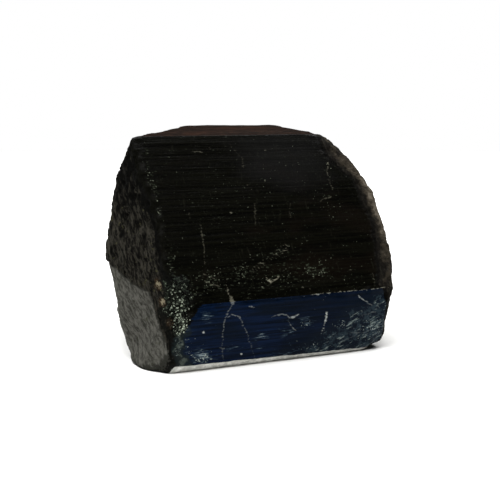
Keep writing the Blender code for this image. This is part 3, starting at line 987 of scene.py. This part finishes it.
centres = np.zeros(len(crystal_mesh.polygons) * 3)
crystal_mesh.polygons.foreach_get("center", centres)
centres = centres.reshape(-1, 3) / MM
corner_points = np.zeros(len(crystal_mesh.polygons) * 3, int)
crystal_mesh.polygons.foreach_get("vertices", corner_points)
face_broken = broken[corner_points.reshape(-1, 3)].mean(axis=1)
order = list(FINISHES)
by_face = np.array([order.index(FINISH_OF_FACE.get(name, "striated_schorl")) for name in FACE_NAMES])
chosen = by_face[nearest_face(centres)]
blue_starts = np.interp(centres[:, 2], blue_border[:, 1], blue_border[:, 0])
waves = BLUE_WAVE * np.array([noise.noise(Vector(centre) / BLUE_WAVE_LENGTH) for centre in centres])
too_far_left = (chosen == order.index("navy_painted_reflection")) & (centres[:, 0] + waves < blue_starts)
chosen = np.where(too_far_left, order.index("handled_schorl"), chosen)
chosen = np.where(face_broken > MOSTLY, order.index("broken_schorl"), chosen)
crystal_mesh.polygons.foreach_set("material_index", chosen.astype(np.int32))
crystal_mesh.update()
for index, name in enumerate(order):
    print("Triangles in", name + ":", int((chosen == index).sum()))

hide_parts(NODE)
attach(crystal, "root")

# %% [markdown]
# ## Loose grains in the crumbled corner
#
# Where the corner has crumbled, the tourmaline has broken up into sugary grains, pale green and
# white with some iron stain. They are small lumps pressed into the hollow, so each one is a
# ball of twenty triangles pulled out of shape, and all of them are joined in one mesh.

# %% Press the grains into the corner
GRAIN_TRIES = 8000              # places tried; where the corner is less crumbled, most stay bare
GRAIN_SIZE = (0.07, 0.22)       # smallest and largest half-width, in mm
GRAINS_FROM = (-19.6, -17.8)    # along the crystal, from where few grains are left to where many are
BRIGHT_BAND = (-17.6, 0.8)      # along the crystal, middle and half-width of the palest grains
GRAIN_LIFT = 0.1                # share of its half-width that a grain's middle is above the stone
BALL_TRIANGLES = 20
GRAIN_GLOSS = 0.03
GRAIN_ROUGHNESS = 0.6
GAPS = 1.3                      # size of the gaps between clusters of grains, in mm
LEAST_CRUMBLED = 0.15           # no grain lies where the corner is crumbled less than this
SUGAR_BASE = "#060605"

chance = random.Random(9)
crumbled = np.nonzero((crumble > LEAST_CRUMBLED) & (normals[:, 1] < 0.3))[0]
bm = bmesh.new()
tone_layer = bm.verts.layers.float.new("tone")
stain_layer = bm.verts.layers.float.new("stain")
for index in range(GRAIN_TRIES):
    spot = int(crumbled[chance.randrange(len(crumbled))])
    here = Vector(places[spot])
    gap = noise.noise(here / GAPS + Vector((7.0, 0.0, 0.0)))
    dense = ease(places[spot][0], *GRAINS_FROM) * crumble[spot]
    lower = min(max(0.5 - 0.09 * (places[spot][2] - CRUMBLE_MIDDLE[2]), 0.0), 1.0)
    tone = 0.65 * chance.random() ** 1.5 + 0.35 * lower
    band = math.exp(-((places[spot][0] - BRIGHT_BAND[0]) / BRIGHT_BAND[1]) ** 2)
    band *= ease(places[spot][2], 16.0, 13.0)
    tone = min(tone + 0.13 * band, 1.0)
    if chance.random() > dense * (0.5 + 0.5 * band + 1.6 * gap) * ease(np.float64(tone), 0.1, 0.4):
        continue
    size = chance.uniform(*GRAIN_SIZE) * (0.6 + 0.5 * crumble[spot])
    middle = Vector(moved[spot]) + Vector(normals[spot]) * size * GRAIN_LIFT
    grain = bmesh.ops.create_icosphere(bm, subdivisions=1, radius=size)["verts"]
    for vert in grain:
        vert.co = vert.co * chance.uniform(0.65, 1.2)
        vert.co.x *= 1.15
        vert.co += middle
        vert[tone_layer] = tone
        vert[stain_layer] = stain[spot]
for vert in bm.verts:
    vert.co = np.clip(np.array(vert.co), low, high) * MM
grain_mesh = bpy.data.meshes.new("crumbled_grains")
bm.to_mesh(grain_mesh)
bm.free()
grains = bpy.data.objects.new("crumbled_grains", grain_mesh)
bpy.context.scene.collection.objects.link(grains)

sugar = bpy.data.materials.new("sugary_tourmaline_grains")
sugar.use_nodes = True
tree = sugar.node_tree
shader = tree.nodes["Principled BSDF"]
shader.inputs["IOR"].default_value = SCHORL_IOR
shader.inputs["Specular IOR Level"].default_value = GRAIN_GLOSS
shader.inputs["Roughness"].default_value = GRAIN_ROUGHNESS
SUGAR = (
    ("#262c25", "tone", 0.35, 0.65),
    ("#a6b09d", "tone", 0.68, 0.84),
    ("#4f3f26", "stain", 0.30, 0.80),
)
colour = add(tree, "RGB").outputs[0]
colour.default_value = linear(SUGAR_BASE)
for tone, mask, start, stop in SUGAR:
    value = add(tree, "Attribute", attribute_name=mask).outputs["Fac"]
    share = add(tree, "MapRange", {"Value": value, "From Min": start, "From Max": stop}).outputs[0]
    colours = {"Factor": share, 6: colour, 7: linear(tone)}
    colour = add(tree, "Mix", colours, data_type="RGBA").outputs[2]
tree.links.new(colour, shader.inputs["Base Color"])
grain_mesh.materials.append(sugar)
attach(grains, "root")
print("Grains:", len(grain_mesh.polygons) // BALL_TRIANGLES, "with", len(grain_mesh.polygons), "triangles")
